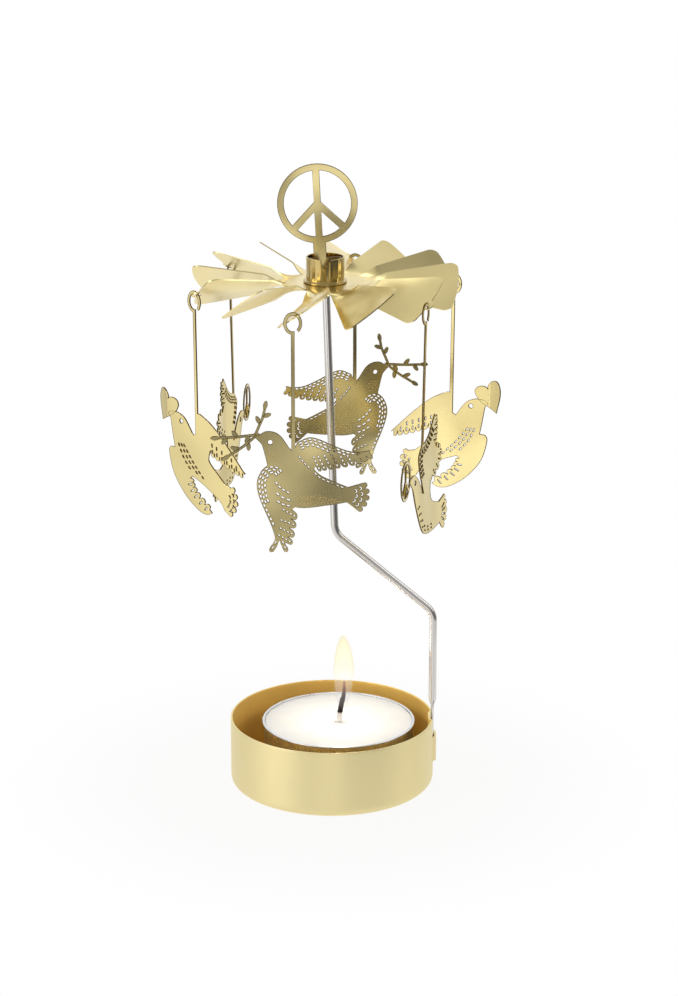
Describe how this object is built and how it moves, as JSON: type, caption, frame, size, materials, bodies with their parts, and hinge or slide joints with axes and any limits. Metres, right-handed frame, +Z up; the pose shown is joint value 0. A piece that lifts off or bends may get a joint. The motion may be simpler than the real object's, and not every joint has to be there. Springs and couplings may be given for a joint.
{
  "type": "rotating candle holder",
  "caption": "Tealight carousel: a round cup with a bent wire post, a wheel of twisted vanes that turns on a needle point, and pierced bird pendants hung from the vanes.",
  "frame": {"origin": "centre of the cup's underside, on the table", "axes": "+Z up; -Y is the side the picture shows; +X points to the wire post at the cup"},
  "size_m": [0.0864, 0.083, 0.1638],
  "materials": {
    "satin_brass": "satin",
    "polished_brass": "polished",
    "steel_wire": "drawn",
    "foil": "bright",
    "tin": "satin",
    "wax": "satin",
    "wick": "charred"
  },
  "bodies": {
    "base": {"base_cup": "satin_brass", "post": "steel_wire"},
    "rotor": {"vane_wheel": "satin_brass", "hub": "polished_brass", "finial": "satin_brass"},
    "branch_dove_a": {"branch_dove_a": "satin_brass"},
    "heart_dove_a": {"heart_dove_a": "satin_brass"},
    "sign_dove_a": {"sign_dove_a": "satin_brass"},
    "branch_dove_b": {"branch_dove_b": "satin_brass"},
    "heart_dove_b": {"heart_dove_b": "satin_brass"},
    "sign_dove_b": {"sign_dove_b": "satin_brass"},
    "tealight": {"tealight_shell": "foil", "tealight_wax": "wax", "wick": "wick", "wick_sustainer": "tin"}
  },
  "joints": [
    {"name": "rotor_spin", "type": "hinge", "parent": "base", "child": "rotor", "pos_m": [-0.0016, 0, 0.13695], "axis": [0, 0, 1], "continuous": true},
    {"name": "branch_dove_a_swing", "type": "hinge", "parent": "rotor", "child": "branch_dove_a", "pos_m": [0.0061, 0.03287, 0.13316], "axis": [0.9681, 0.2504, 0], "range_deg": [-8, 35]},
    {"name": "heart_dove_a_swing", "type": "hinge", "parent": "rotor", "child": "heart_dove_a", "pos_m": [0.03096, 0.01011, 0.13316], "axis": [0.9026, -0.4305, 0], "range_deg": [-15, 35]},
    {"name": "sign_dove_a_swing", "type": "hinge", "parent": "rotor", "child": "sign_dove_a", "pos_m": [0.02286, -0.02304, 0.13316], "axis": [-0.3987, -0.9171, 0], "range_deg": [-8, 35]},
    {"name": "branch_dove_b_swing", "type": "hinge", "parent": "rotor", "child": "branch_dove_b", "pos_m": [-0.00934, -0.03262, 0.13316], "axis": [-0.999, -0.0436, 0], "range_deg": [-8, 35]},
    {"name": "heart_dove_b_swing", "type": "hinge", "parent": "rotor", "child": "heart_dove_b", "pos_m": [-0.03394, -0.0098, 0.13316], "axis": [-0.7254, 0.6884, 0], "range_deg": [-15, 35]},
    {"name": "sign_dove_b_swing", "type": "hinge", "parent": "rotor", "child": "sign_dove_b", "pos_m": [-0.02618, 0.02309, 0.13316], "axis": [0.3007, 0.9537, 0], "range_deg": [-8, 35]},
    {"name": "tealight_lift", "type": "slide", "parent": "base", "child": "tealight", "axis": [0, 0, 1], "range_m": [0, 0.02]}
  ]
}
